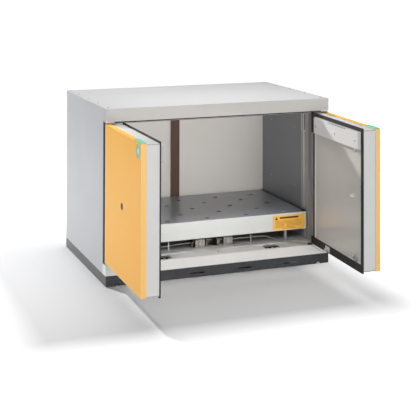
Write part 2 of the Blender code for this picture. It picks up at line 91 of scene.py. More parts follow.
class Nodes:
    def __init__(self, name):
        self.mat = bpy.data.materials.new(name)
        self.mat.use_nodes = True
        self.t = self.mat.node_tree
        self.bsdf = self.t.nodes["Principled BSDF"]
        self.coord = self.t.nodes.new("ShaderNodeTexCoord")

    def new(self, kind, **kw):
        n = self.t.nodes.new(kind)
        for k, v in kw.items():
            setattr(n, k, v)
        return n

    def link(self, a, b):
        self.t.links.new(a, b)

    def coords(self, scale=(1.0, 1.0, 1.0), rot=(0.0, 0.0, 0.0)):
        m = self.new("ShaderNodeMapping")
        m.inputs["Scale"].default_value = scale
        m.inputs["Rotation"].default_value = rot
        self.link(self.coord.outputs["Object"], m.inputs["Vector"])
        return m.outputs["Vector"]

    def noise(self, scale, detail=2.0, rough=0.5, vec=None, dist=0.0):
        n = self.new("ShaderNodeTexNoise")
        n.inputs["Scale"].default_value = scale
        n.inputs["Detail"].default_value = detail
        n.inputs["Roughness"].default_value = rough
        n.inputs["Distortion"].default_value = dist
        self.link(vec if vec is not None else self.coord.outputs["Object"], n.inputs["Vector"])
        return n.outputs["Fac"]

    def rng(self, fac, a, b, lo=0.3, hi=0.7):
        m = self.new("ShaderNodeMapRange")
        m.inputs["From Min"].default_value = lo
        m.inputs["From Max"].default_value = hi
        m.inputs["To Min"].default_value = a
        m.inputs["To Max"].default_value = b
        self.link(fac, m.inputs["Value"])
        return m.outputs["Result"]

    def math(self, op, a, b):
        m = self.new("ShaderNodeMath", operation=op)
        for i, v in enumerate((a, b)):
            if isinstance(v, (int, float)):
                m.inputs[i].default_value = v
            else:
                self.link(v, m.inputs[i])
        return m.outputs[0]

    def mix(self, fac, a, b, blend="MIX"):
        m = self.new("ShaderNodeMix", data_type="RGBA", blend_type=blend)
        for sock, v in ((m.inputs[0], fac), (m.inputs[6], a), (m.inputs[7], b)):
            if isinstance(v, (int, float)):
                sock.default_value = v
            elif isinstance(v, tuple):
                sock.default_value = v
            else:
                self.link(v, sock)
        return m.outputs[2]

    def scaled(self, colour, value):
        """colour times a grey value socket"""
        comb = self.new("ShaderNodeCombineColor")
        for i in range(3):
            self.link(value, comb.inputs[i])
        return self.mix(1.0, colour, comb.outputs[0], "MULTIPLY")

    def bump(self, heights):
        """heights: [(height socket, strength, distance)], chained"""
        last = None
        for h, s, dd in heights:
            b = self.new("ShaderNodeBump")
            b.inputs["Strength"].default_value = s
            b.inputs["Distance"].default_value = dd
            self.link(h, b.inputs["Height"])
            if last is not None:
                self.link(last, b.inputs["Normal"])
            last = b.outputs["Normal"]
        self.link(last, self.bsdf.inputs["Normal"])

    def put(self, name, v):
        sock = self.bsdf.inputs[name]
        if isinstance(v, (int, float, tuple)):
            sock.default_value = v
        else:
            self.link(v, sock)


def edge_highlight_mask(m, radius=0.0015):
    """1 on rounded outer edges, where the painted highlight goes, 0 on flats, from the difference a bevel makes
    to the normal
    """
    bev = m.new("ShaderNodeBevel", samples=4)
    bev.inputs["Radius"].default_value = radius
    geo = m.new("ShaderNodeNewGeometry")
    dot = m.new("ShaderNodeVectorMath", operation="DOT_PRODUCT")
    m.link(bev.outputs[0], dot.inputs[0])
    m.link(geo.outputs["Normal"], dot.inputs[1])
    return m.rng(dot.outputs["Value"], 1.0, 0.0, 0.80, 0.985)


def powder(name, colour, rough=0.42, peel=0.10, mottle=0.025, spec=0.45, coat=0.0, edge=None,
           grime=0.0, bounce=None, vary=0.02, under_tray_shade=None):
    """Powder-coated sheet: orange peel, a faint cloud in the tone, uneven gloss, a painted highlight of lighter
    colour on the edges, and on request a painted shade band
    """
    m = Nodes(name)
    cloud = m.rng(m.noise(3.1, 4.0, 0.55), 1.0 - mottle, 1.0 + mottle)
    fleck = m.rng(m.noise(1900.0, 1.0, 0.5), 0.985, 1.015)
    col = m.scaled(colour, m.math("MULTIPLY", cloud, fleck))
    if grime > 0.0:
        sep = m.new("ShaderNodeSeparateXYZ")
        m.link(m.coord.outputs["Object"], sep.inputs[0])
        low = m.rng(sep.outputs["Z"], 1.0, 0.0, 0.0, 0.10)
        dust = m.math("MULTIPLY", m.math("MULTIPLY", low, m.rng(m.noise(55.0, 5.0, 0.65), 0.0, 1.0)),
                      grime)
        col = m.mix(dust, col, rgb(150, 143, 132))
    if edge is not None:
        # painted highlight: the edge colour mixed onto the rounded edges, broken up by noise
        edge_glint = m.math("MULTIPLY", edge_highlight_mask(m), m.rng(m.noise(40.0, 3.0, 0.6), 0.25, 1.0))
        col = m.mix(m.math("MULTIPLY", edge_glint, 0.55), col, edge)
    # painted shade: beyond a noisy line in Y the coat turns a darker grey, where the floor pan lies under the
    # tray
    if under_tray_shade is not None:
        where = m.new("ShaderNodeSeparateXYZ")
        m.link(m.coord.outputs["Object"], where.inputs[0])
        shade_edge = m.math("ADD", where.outputs["Y"], m.rng(m.noise(30.0, 4.0, 0.6), -0.004, 0.004))
        col = m.mix(m.rng(shade_edge, 0.0, 1.0, under_tray_shade[0], under_tray_shade[1]), col, rgb(116, 112, 108))
    if bounce is not None:
        path = m.new("ShaderNodeLightPath")
        col = m.mix(path.outputs["Is Diffuse Ray"], col, bounce)
    m.put("Base Color", col)
    m.put("Roughness", m.rng(m.noise(9.0, 5.0, 0.6), rough - vary, rough + vary))
    m.put("Specular IOR Level", spec)
    if coat > 0.0:
        m.put("Coat Weight", coat)
        m.put("Coat Roughness", 0.22)
    m.bump([(m.noise(620.0, 2.0, 0.5), peel, 0.0004)])
    return m.mat


def metal(name, colour, rough=0.3, grain=(900.0, 12.0, 900.0), tint=0.06, spangle=0.0):
    """Drawn or brushed metal: long grain in the bump, the gloss and the tone"""
    m = Nodes(name)
    g = m.noise(1.0, 3.0, 0.6, m.coords(grain))
    tone = m.rng(g, 1.0 - tint, 1.0 + tint)
    col = m.scaled(colour, tone)
    if spangle > 0.0:
        v = m.new("ShaderNodeTexVoronoi")
        v.inputs["Scale"].default_value = 160.0
        m.link(m.coord.outputs["Object"], v.inputs["Vector"])
        sep = m.new("ShaderNodeSeparateColor")
        m.link(v.outputs["Color"], sep.inputs[0])
        col = m.scaled(col, m.rng(sep.outputs[0], 1.0 - spangle, 1.0 + spangle, 0.0, 1.0))
    m.put("Base Color", col)
    m.put("Metallic", 1.0)
    m.put("Roughness", m.rng(g, rough - 0.08, rough + 0.10))
    m.put("Anisotropic", 0.35)
    m.bump([(g, 0.12, 0.0004)])
    return m.mat


def rubber(name, colour, rough=0.55, ribs=0.0):
    m = Nodes(name)
    n = m.noise(420.0, 3.0, 0.6)
    col = m.scaled(colour, m.rng(m.noise(25.0, 4.0, 0.6), 0.75, 1.35))
    m.put("Base Color", col)
    m.put("Roughness", m.rng(n, rough - 0.08, rough + 0.12))
    m.put("Specular IOR Level", 0.35)
    heights = [(n, 0.25, 0.0005)]
    if ribs > 0.0:
        wv = m.new("ShaderNodeTexWave", wave_type="BANDS", bands_direction="DIAGONAL")
        wv.inputs["Scale"].default_value = ribs
        m.link(m.coord.outputs["Object"], wv.inputs["Vector"])
        heights.append((wv.outputs["Fac"], 0.35, 0.0006))
    m.bump(heights)
    return m.mat


def plastic(name, colour, rough=0.35, sss=0.0, grain=1400.0):
    m = Nodes(name)
    m.put("Base Color", m.scaled(colour, m.rng(m.noise(18.0, 3.0, 0.5), 0.96, 1.05)))
    m.put("Roughness", m.rng(m.noise(70.0, 3.0, 0.6), rough - 0.05, rough + 0.08))
    if sss > 0.0:
        m.put("Subsurface Weight", sss)
        m.put("Subsurface Radius", (0.004, 0.004, 0.003))
        m.put("Subsurface Scale", 1.0)
    m.bump([(m.noise(grain, 2.0, 0.5), 0.12, 0.0003)])
    return m.mat


def board(name):
    """Pressed mineral fibre board: matt, flecked, with a faint fibrous lay"""
    m = Nodes(name)
    fib = m.noise(1.0, 5.0, 0.7, m.coords((900.0, 120.0, 900.0)))
    speck = m.noise(260.0, 3.0, 0.7)
    col = m.mix(m.rng(fib, 0.0, 1.0), rgb(206, 199, 182), rgb(228, 223, 210))
    col = m.scaled(col, m.rng(speck, 0.86, 1.06))
    m.put("Base Color", col)
    m.put("Roughness", 0.92)
    m.bump([(fib, 0.5, 0.0008), (speck, 0.3, 0.0005)])
    return m.mat


M = {
    "side": powder("coat_side_grey", rgb(192, 195, 198), 0.44, grime=0.05, edge=rgb(240, 241, 243)),
    "top": powder("coat_top_grey", rgb(193, 193, 194), 0.40, edge=rgb(244, 244, 244)),
    # sill: the body grey painted lighter as painted light, making up for the little light reaching the low
    # front
    "sill": powder("coat_sill_painted_light", rgb(238, 236, 232), 0.38, edge=rgb(246, 245, 243)),
    # floor pan: colour raised to pure white as painted light for the low light it gets, and darkened behind Y
    # -0.172..-0.120 as painted shade under the tray
    "floor": powder("coat_floor_pan_painted_light_and_shade", rgb(255, 255, 255), 0.30, coat=0.25, under_tray_shade=(-0.172, -0.120)),
    # one liner sheet in three tones: back wall and ceiling painted lighter as painted light, side walls, jambs
    # and tray stand painted darker as painted shade
    "liner": powder("coat_back_wall_painted_light", rgb(241, 236, 230), 0.36, coat=0.2),
    "wall": powder("coat_side_wall_painted_shade", rgb(134, 136, 141), 0.34, coat=0.2),
    "jamb": powder("coat_jamb_painted_shade", rgb(176, 174, 170), 0.32, coat=0.3, edge=rgb(226, 224, 220)),
    "tray": powder("coat_tray", rgb(220, 221, 217), 0.30, coat=0.25, edge=rgb(246, 246, 245)),
    "insert": powder("coat_insert", rgb(146, 150, 158), 0.30, coat=0.25),
    "plinth": powder("coat_plinth", rgb(45, 48, 52), 0.42, peel=0.1, grime=0.08, coat=0.4,
                     edge=rgb(128, 134, 140)),
    "yellow": powder("coat_door_yellow", rgb(255, 190, 82), 0.46, peel=0.12, spec=0.3, mottle=0.014, bounce=rgb(196, 192, 186),
                     edge=rgb(255, 212, 140)),
    "casing": powder("coat_door_casing", rgb(219, 218, 217), 0.36, edge=rgb(246, 246, 246)),
    "panel": powder("coat_door_panel", rgb(205, 200, 193), 0.24, peel=0.02, coat=0.3, vary=0.01),
    "box": powder("coat_cover_box", rgb(214, 212, 210), 0.36, edge=rgb(244, 243, 241)),
    "seal": rubber("black_door_seal", rgb(38, 38, 37), 0.6, ribs=60.0),
    "black": rubber("black_frame_seal", rgb(30, 30, 30), 0.5),
    "riser": powder("coat_riser_brown", rgb(92, 66, 52), 0.42, mottle=0.06),
    "zinc": metal("zinc_plated", rgb(206, 208, 208), 0.34, spangle=0.06),
    "steel": metal("bright_steel", rgb(214, 211, 206), 0.26, (60.0, 1200.0, 1200.0)),
    "board": board("mineral_board"),
    "blackplastic": plastic("black_moulding", rgb(32, 32, 33), 0.42),
    "green": plastic("mint_moulding", rgb(124, 220, 186), 0.34, sss=0.08),
    "badge": plastic("green_badge_print", rgb(110, 186, 166), 0.30),
    "badge_mark": plastic("badge_pale_print", rgb(206, 232, 222), 0.30),
    "white": plastic("white_moulding", rgb(240, 240, 236), 0.30, sss=0.05),
    "amber": plastic("amber_label_film", rgb(255, 196, 84), 0.32, grain=600.0),
    "ink": plastic("dark_label_print", rgb(74, 52, 24), 0.40, grain=900.0),
    "ink_soft": plastic("pale_label_print", rgb(196, 138, 50), 0.40, grain=900.0),
    # sump tray floor painted dark as the shade under the perforated insert
    "sump": powder("coat_sump_inside_painted_shade", rgb(74, 75, 78), 0.5, mottle=0.06),
    # the door yellow painted lighter, as a painted highlight on the skin's free end and fold
    "yellow_highlight": powder("coat_door_yellow_highlight", rgb(255, 204, 118), 0.34, peel=0.10, mottle=0.012,
                          edge=rgb(255, 216, 150), bounce=rgb(204, 200, 192)),
    # front fold of the top cover: the same sheet as the top, painted lighter and warmer as painted light
    "fascia": powder("coat_fascia_painted_light", rgb(218, 215, 210), 0.38, peel=0.06, edge=rgb(240, 240, 238)),
    "strip_grey": powder("coat_hinge_strip", rgb(126, 124, 121), 0.34, coat=0.2),
    "rail": metal("bright_rail_steel", rgb(222, 220, 214), 0.38),
    "escutcheon": metal("dark_escutcheon_steel", rgb(104, 106, 114), 0.34),
    "rivet": metal("rivet_steel", rgb(112, 113, 116), 0.5),
    "gear": metal("closer_gear_steel", rgb(186, 181, 174), 0.30, (60.0, 1200.0, 1200.0), tint=0.15),
    "bronze": metal("bronze_bush", rgb(150, 112, 74), 0.35),
    # near-black stand-in for the shade inside slots, notches, keyways and gaps: painted shade
    "dark": plastic("painted_shade_recess", rgb(16, 16, 17), 0.8),
}

ASSIGN = {
    "plinth": "plinth", "base_panel": "side", "side_panel_left": "side",
    "side_panel_right": "side", "top_cover": "top", "rear_panel": "side",
    "front_sill": "sill", "floor_pan": "floor", "base_board": "board", "top_board": "board",
    "side_board_left": "board", "side_board_right": "board", "rear_board": "board",
    "side_liner_left": "wall", "side_liner_right": "wall", "rear_liner": "liner",
    "ceiling_liner": "liner", "jamb_left": "jamb", "jamb_right": "jamb",
    "header_seal": "black", "hinge_gap_seal_left": "black", "hinge_gap_seal_right": "black",
    "exhaust_riser": "riser", "exhaust_collar": "zinc", "closer_block": "gear",
    "closer_conduit_left": "zinc", "closer_conduit_right": "zinc",
    "closer_drum_left": "steel", "closer_drum_right": "steel",
    "wire_guide_left": "blackplastic", "wire_guide_right": "blackplastic",
    "tray_stand": "jamb", "sump_tray": "tray", "perforated_insert": "insert",
}
for s_ in ("left", "right"):
    ASSIGN.update({
        s_ + "_door_skin": "yellow", s_ + "_door_core": "board", s_ + "_door_casing": "casing",
        s_ + "_door_seal": "seal", s_ + "_cover_box": "box", s_ + "_pull_tab": "green",
        s_ + "_wire_bracket": "rail", s_ + "_lock_plug": "steel", s_ + "_lock_bolt": "zinc"})
for n, o in NODES.items():
    key = ASSIGN.get(n, "zinc")
    o.data.materials.clear()
    o.data.materials.append(M[key])

# the cover's front fold takes a warmer, lighter copy of the coat as painted light, each door skin's free end a
# lighter yellow as a painted highlight, and the sump tray's floor a dark coat as painted shade
def second_coat(node, key, direction, least=0.9, below=None):
    o = NODES[node]
    o.data.materials.append(M[key])
    turn = o.matrix_world.to_3x3()
    for p in o.data.polygons:
        if (turn @ p.normal).dot(direction) > least and (
                below is None or (o.matrix_world @ p.center).z < below):
            p.material_index = 1


# painted shade: the tray's upward faces below 0.15 m in the dark coat
second_coat("sump_tray", "sump", Vector((0.0, 0.0, 1.0)), below=0.15)
second_coat("top_cover", "fascia", Vector((0.0, -1.0, 0.0)))
# painted highlight: the free end of each door skin in the lighter yellow
for s_, sg in (("left", 1.0), ("right", -1.0)):
    second_coat(s_ + "_door_skin", "yellow_highlight",
                door_matrix(s_).to_3x3() @ Vector((sg, 0.0, 0.0)))

# the inward faces of each door casing are a glossier liner sheet than its outer folds
for s_ in ("left", "right"):
    o = NODES[s_ + "_door_casing"]
    o.data.materials.append(M["panel"])
    inward = door_matrix(s_).to_3x3() @ Vector((0.0, 1.0, 0.0))
    turn = o.matrix_world.to_3x3()
    for p in o.data.polygons:
        if (turn @ p.normal).dot(inward) > 0.9:
            p.material_index = 1

# rounded folds on the sheet-metal nodes
BEVEL = {"top_cover": 0.6, "front_sill": 0.5, "plinth": 0.9, "side_panel_left": 0.5,
         "side_panel_right": 0.5, "rear_panel": 0.5, "sump_tray": 0.6, "perforated_insert": 0.5,
         "left_door_skin": 0.5, "right_door_skin": 0.5, "left_door_casing": 0.5,
         "right_door_casing": 0.5, "left_cover_box": 0.5, "right_cover_box": 0.5,
         "left_pull_tab": 0.9, "right_pull_tab": 0.9, "jamb_left": 0.45, "jamb_right": 0.45,
         "left_door_seal": 1.2, "right_door_seal": 1.2, "exhaust_riser": 0.5,
         "closer_block": 0.5, "wire_guide_left": 1.2, "wire_guide_right": 1.2,
         "left_wire_bracket": 0.5, "right_wire_bracket": 0.5, "tray_stand": 0.8,
         "hinge_bracket_bottom_left": 0.5, "hinge_bracket_bottom_right": 0.5,
         "hinge_bracket_top_left": 0.5, "hinge_bracket_top_right": 0.5,
         "left_lock_bolt": 0.5, "right_lock_bolt": 0.5, "header_seal": 1.0,
         "hinge_gap_seal_left": 0.8, "hinge_gap_seal_right": 0.8, "floor_pan": 0.4}
for n, w in BEVEL.items():
    o = NODES[n]
    mod = o.modifiers.new("fold", "BEVEL")
    mod.width = w / 1000.0
    mod.segments = 3
    mod.limit_method = "ANGLE"
    mod.angle_limit = math.radians(40.0)
    mod.harden_normals = True
    mod.use_clamp_overlap = True
    for p in o.data.polygons:
        p.use_smooth = True
    o.data.set_sharp_from_angle(angle=math.radians(35.0))
    mod.miter_outer = "MITER_ARC"


# -------------------------------------------------------------- mesh making
def finish_mesh(name, bm, mats, body, matrix=None, smooth=35.0, bevel=0.0):
    bmesh.ops.recalc_face_normals(bm, faces=bm.faces[:])
    me = bpy.data.meshes.new(name)
    bm.to_mesh(me)
    bm.free()
    for k in mats:
        me.materials.append(M[k])
    me.shade_smooth()
    me.set_sharp_from_angle(angle=math.radians(smooth))
    ob = bpy.data.objects.new(name, me)
    bpy.context.scene.collection.objects.link(ob)
    if matrix is not None:
        ob.matrix_world = matrix
    if bevel > 0.0:
        mod = ob.modifiers.new("edge", "BEVEL")
        mod.width = bevel / 1000.0
        mod.segments = 3
        mod.limit_method = "ANGLE"
        mod.angle_limit = math.radians(40.0)
        mod.harden_normals = True
    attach(ob, body)
    return ob


def add_box(bm, conv, x0, x1, y0, y1, z0, z1, mi=0):
    vs = [bm.verts.new(conv(x, y, z)) for x in (x0, x1) for y in (y0, y1) for z in (z0, z1)]
    out = []
    for f in ((0, 1, 3, 2), (4, 6, 7, 5), (0, 4, 5, 1), (2, 3, 7, 6), (0, 2, 6, 4), (1, 5, 7, 3)):
        face = bm.faces.new([vs[i] for i in f])
        face.material_index = mi
        out.append(face)
    return out


def add_rev(bm, conv, centre, axis, profile, n=24, mi=0):
    """Turned solid; profile of (distance along axis, radius)"""
    rings = []
    for t, r in profile:
        ring = []
        for i in range(n):
            a = 2.0 * math.pi * i / n
            c, s = r * math.cos(a), r * math.sin(a)
            x, y, z = centre
            if axis == "Z":
                p = (x + c, y + s, z + t)
            elif axis == "Y":
                p = (x + c, y + t, z + s)
            else:
                p = (x + t, y + c, z + s)
            ring.append(bm.verts.new(conv(*p)))
        rings.append(ring)
    for k in range(len(rings) - 1):
        for i in range(n):
            j = (i + 1) % n
            f = bm.faces.new((rings[k][i], rings[k][j], rings[k + 1][j], rings[k + 1][i]))
            f.material_index = mi
    for ring in (rings[0][::-1], rings[-1]):
        f = bm.faces.new(ring)
        f.material_index = mi


def add_plate(bm, conv, outline, lo, hi, plane="XZ", mi=0, at=0.0):
    """Flat shape. outline points lie in plane, lo..hi is its thickness along the third axis"""
    def pt(u, v, t):
        return {"XZ": (u, t, v), "XY": (u, v, t), "YZ": (t, u, v)}[plane]
    a = [bm.verts.new(conv(*pt(u, v, lo))) for u, v in outline]
    b = [bm.verts.new(conv(*pt(u, v, hi))) for u, v in outline]
    f1, f2 = bm.faces.new(a[::-1]), bm.faces.new(b)
    f1.material_index = f2.material_index = mi
    n = len(outline)
    for i in range(n):
        j = (i + 1) % n
        f = bm.faces.new((a[i], a[j], b[j], b[i]))
        f.material_index = mi


def rounded(x0, x1, z0, z1, r, n=6):
    pts = []
    for cx, cz, a0 in ((x1 - r, z1 - r, 0.0), (x0 + r, z1 - r, 90.0),
                       (x0 + r, z0 + r, 180.0), (x1 - r, z0 + r, 270.0)):
        for i in range(n + 1):
            a = math.radians(a0 + 90.0 * i / n)
            pts.append((cx + r * math.cos(a), cz + r * math.sin(a)))
    return pts


def circle(cx, cz, r, n=40, rz=None):
    rz = r if rz is None else rz
    return [(cx + r * math.cos(2 * math.pi * i / n), cz + rz * math.sin(2 * math.pi * i / n))
            for i in range(n)]


def add_tube(bm, points, radius, n=10, mi=0):
    """Round bar along points in metres, capped flat at both ends"""
    pts = [Vector(p) for p in points]
    radii = radius if isinstance(radius, (list, tuple)) else [radius] * len(pts)
    rings = []
    ref = Vector((0.0, 0.0, 1.0))
    for k, p in enumerate(pts):
        t = (pts[min(k + 1, len(pts) - 1)] - pts[max(k - 1, 0)]).normalized()
        if abs(t.dot(ref)) > 0.95:
            u = t.cross(Vector((0.0, 1.0, 0.0))).normalized()
        else:
            u = t.cross(ref).normalized()
        w = u.cross(t).normalized()
        rings.append([bm.verts.new(p + (u * math.cos(2 * math.pi * i / n)
                                        + w * math.sin(2 * math.pi * i / n)) * radii[k] / 1000.0)
                      for i in range(n)])
    for k in range(len(rings) - 1):
        for i in range(n):
            j = (i + 1) % n
            f = bm.faces.new((rings[k][i], rings[k][j], rings[k + 1][j], rings[k + 1][i]))
            f.material_index = mi
    for ring in (rings[0][::-1], rings[-1]):
        f = bm.faces.new(ring)
        f.material_index = mi


def smooth_path(pts, steps=6):
    """Catmull-Rom through points"""
    pts = [Vector(p) for p in pts]
    ext = [pts[0] * 2 - pts[1]] + pts + [pts[-1] * 2 - pts[-2]]
    out = []
    for i in range(1, len(ext) - 2):
        p0, p1, p2, p3 = ext[i - 1], ext[i], ext[i + 1], ext[i + 2]
        for k in range(steps):
            t = k / steps
            out.append(0.5 * ((2 * p1) + (p2 - p0) * t + (2 * p0 - 5 * p1 + 4 * p2 - p3) * t * t
                              + (3 * p1 - p0 - 3 * p2 + p3) * t * t * t))
    out.append(pts[-1])
    return out


def dome(h, r, rim=0.35):
    """Profile of a low domed head of height h"""
    return [(0.0, r), (h * 0.35, r), (h * 0.75, r * 0.86), (h * 0.95, r * 0.55), (h, r * 0.12)]


# ---------------------------------------------------------- cabinet details
bm = bmesh.new()
for x in (16.0, W - 16.0):
    for y in (33.0, 163.0, 295.0, 428.0, 545.0):
        add_rev(bm, P, (x, y, 600.0), "Z",
                [(-0.1, 4.4), (0.25, 4.4), (0.35, 3.9), (0.1, 3.2), (0.12, 1.6), (0.4, 1.2), (0.4, 0.2)], 20)
add_rev(bm, P, (68.0, 465.0, 600.0), "Z", [(-0.1, 3.2), (0.25, 3.2), (0.35, 2.6), (0.05, 1.8), (0.05, 0.3)], 20)
finish_mesh("top_cover_rivets", bm, ["rivet"], "cabinet")

# strike inserts in the sill's openings: a black tray with two bright striker bars
for side, xc in (("left", 217.0), ("right", W - 217.0)):
    x0, x1 = xc - 27.6, xc + 27.6
    bm = bmesh.new()
    add_box(bm, P, x0, x1, 12.4, 51.6, 40.0, 41.2)
    add_box(bm, P, x0, x1, 12.4, 13.6, 41.2, 69.6)
    add_box(bm, P, x0, x1, 50.4, 51.6, 41.2, 69.6)
    add_box(bm, P, x0, x0 + 1.2, 13.6, 50.4, 41.2, 69.6)
    add_box(bm, P, x1 - 1.2, x1, 13.6, 50.4, 41.2, 69.6)
    finish_mesh("strike_tray_" + side, bm, ["blackplastic"], "cabinet")
    bm = bmesh.new()
    add_box(bm, P, x0 + 1.3, x1 - 1.3, 38.5, 46.5, 68.0, 69.8)
    for k in range(3):
        xx = x0 + 5.0 + 19.0 * k
        add_box(bm, P, xx, xx + 8.0, 16.0, 23.5, 68.0, 69.8)
    finish_mesh("striker_bars_" + side, bm, ["rail"], "cabinet", bevel=0.3)

# centre screw and earthing tab on the sill
bm = bmesh.new()
add_rev(bm, P, (423.0, 30.0, 70.0), "Z", [(-0.1, 5.0), (1.0, 5.0), (1.6, 4.2), (1.9, 2.4), (1.9, 0.3)], 20)
add_rev(bm, P, (436.0, 32.0, 70.0), "Z", [(-0.1, 2.6), (0.9, 2.6), (1.2, 1.8), (1.2, 0.2)], 16)
finish_mesh("sill_screws", bm, ["steel"], "cabinet")

# label plate on the tray front, with a generic mark and bars in place of words
bm = bmesh.new()
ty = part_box("sump_tray")[0].y * 1000.0 + OY
add_plate(bm, P, rounded(652.0, 780.0, 116.5, 170.0, 3.5), ty - 0.6, ty - 0.05, "XZ", 0)
finish_mesh("label_plate", bm, ["amber"], "sump_tray")
bm = bmesh.new()
add_plate(bm, P, [(661.0, 154.0), (673.0, 154.0), (667.0, 165.0)], ty - 0.75, ty - 0.62, "XZ", 0)
add_plate(bm, P, rounded(680.0, 756.0, 157.0, 163.5, 1.0, 3), ty - 0.75, ty - 0.62, "XZ", 0)
finish_mesh("label_marks", bm, ["ink"], "sump_tray")
bm = bmesh.new()
rows = [(662, 770, 149.5), (662, 758, 145.0), (662, 766, 140.5), (662, 700, 136.0),
        (708, 772, 136.0), (662, 698, 131.5), (708, 764, 131.5), (662, 700, 127.0),
        (708, 740, 127.0), (690, 745, 122.0)]
for a_, b_, z_ in rows:
    add_plate(bm, P, rounded(a_, b_, z_ - 1.0, z_ + 0.8, 0.7, 3), ty - 0.72, ty - 0.62, "XZ", 0)
finish_mesh("label_bars", bm, ["ink_soft"], "sump_tray")

# tray corner buffers and edge strips
for side in ("left", "right"):
    def mx(x):
        return x if side == "right" else W - x
    bm = bmesh.new()
    c = lambda x, y, z: P(mx(x), y, z)
    add_box(bm, c, 772.0, 787.6, 67.5, 80.0, 176.2, 181.5)
    add_box(bm, c, 776.0, 784.0, 70.0, 77.0, 181.3, 185.0)
    finish_mesh("tray_corner_buffer_" + side, bm, ["blackplastic"], "sump_tray", bevel=1.2)
    bm = bmesh.new()
    add_box(bm, c, 783.6, 787.8, 82.0, 466.0, 176.1, 178.6)
    finish_mesh("tray_edge_strip_" + side, bm, ["blackplastic"], "sump_tray", bevel=0.8)

# hinge bracket screws
bm = bmesh.new()
for x in (20.0, W - 20.0):
    for y in (16.0,):
        add_rev(bm, P, (x, y, 73.3), "Z", [(-0.1, 3.4), (0.9, 3.4), (1.5, 2.6), (1.7, 1.2), (1.7, 0.2)], 18)
finish_mesh("hinge_bracket_screws", bm, ["steel"], "cabinet")

# screws in the side walls and the jambs
bm = bmesh.new()
for x, sgn in ((47.0, 1.0), (W - 47.0, -1.0)):
    for y in (190.0, 400.0):
        for z in (250.0, 470.0):
            add_rev(bm, P, (x, y, z), "X", [(-0.1 * sgn, 2.6), (0.5 * sgn, 2.6), (0.9 * sgn, 1.6), (0.9 * sgn, 0.2)], 16)
finish_mesh("side_wall_screws", bm, ["zinc"], "cabinet")

# black strip along the frame's head, behind the shut doors: partly the black seal line, partly painted shade
# for the gap there
bm = bmesh.new()
add_box(bm, P, 50.6, W - 50.6, 66.8, 70.0, 538.8, 547.0)
add_box(bm, P, 50.6, W - 50.6, 65.9, 66.8, 541.0, 545.5)
finish_mesh("frame_head_seal_shade_strip", bm, ["dark"], "cabinet", bevel=0.4)

# shelf rails on the inner side of each jamb: a bright strip below as a painted highlight on the jamb's fold,
# and a slotted rail above
for side in ("left", "right"):
    c = (lambda x, y, z: P(x, y, z)) if side == "right" else (lambda x, y, z: P(W - x, y, z))
    bm = bmesh.new()
    add_box(bm, c, 794.2, 796.1, 95.0, 106.5, 82.0, 466.0)
    finish_mesh("jamb_fold_highlight_" + side, bm, ["rail"], "cabinet", bevel=0.6)
    bm = bmesh.new()
    add_box(bm, c, 794.8, 796.1, 84.0, 123.0, 466.5, 538.0)
    finish_mesh("jamb_rail_" + side, bm, ["zinc"], "cabinet", bevel=0.4)
    # painted shade: dark boxes on the rail where its slot and holes are
    bm = bmesh.new()
    add_box(bm, c, 794.2, 794.9, 89.0, 94.5, 472.0, 532.0)
    for k in range(8):
        add_box(bm, c, 794.4, 794.9, 108.5, 112.5, 472.0 + 8.0 * k, 476.0 + 8.0 * k)
    finish_mesh("jamb_rail_slot_shade_" + side, bm, ["dark"], "cabinet")

# closer block: springs round the fixed centre, hook and clamp
bm = bmesh.new()


def coil(cx, cy, cz, r, length, turns, wire, axis="X"):
    pts = []
    n = int(turns * 12)
    for i in range(n + 1):
        a = 2 * math.pi * turns * i / n
        pts.append(P(cx + length * i / n, cy + r * math.cos(a), cz + r * math.sin(a)))
    return pts


add_tube(bm, coil(412.5, 124.0, 83.5, 5.2, 16.5, 6, 0.9), 0.9, 8)
add_tube(bm, coil(461.8, 124.0, 82.5, 4.6, 10.0, 4, 0.9), 0.9, 8)
finish_mesh("closer_springs", bm, ["steel"], "cabinet")
bm = bmesh.new()
add_tube(bm, smooth_path([P(354.0, 112.0, 73.0), P(354.5, 112.0, 86.0), P(357.0, 112.0, 91.0),
                          P(361.0, 112.5, 89.0)], 5), 1.3, 8)
add_rev(bm, P, (452.5, 109.9, 84.0), "Y", [(-2.2, 0.4), (-2.2, 3.0), (-0.4, 3.4), (0.2, 3.4)], 6)
add_rev(bm, P, (452.5, 109.9, 92.0), "Y", [(-1.6, 0.4), (-1.6, 2.2), (-0.2, 2.4), (0.2, 2.4)], 6)
finish_mesh("closer_block_hardware", bm, ["zinc"], "cabinet")


# ------------------------------------------------------------- door details
def door_piece(name, side, build, mats, bevel=0.0, smooth=35.0):
    bm = bmesh.new()
    build(bm, DL(side))
    return finish_mesh(side + "_" + name, bm, mats, side + "_door", door_matrix(side),
                       smooth, bevel)


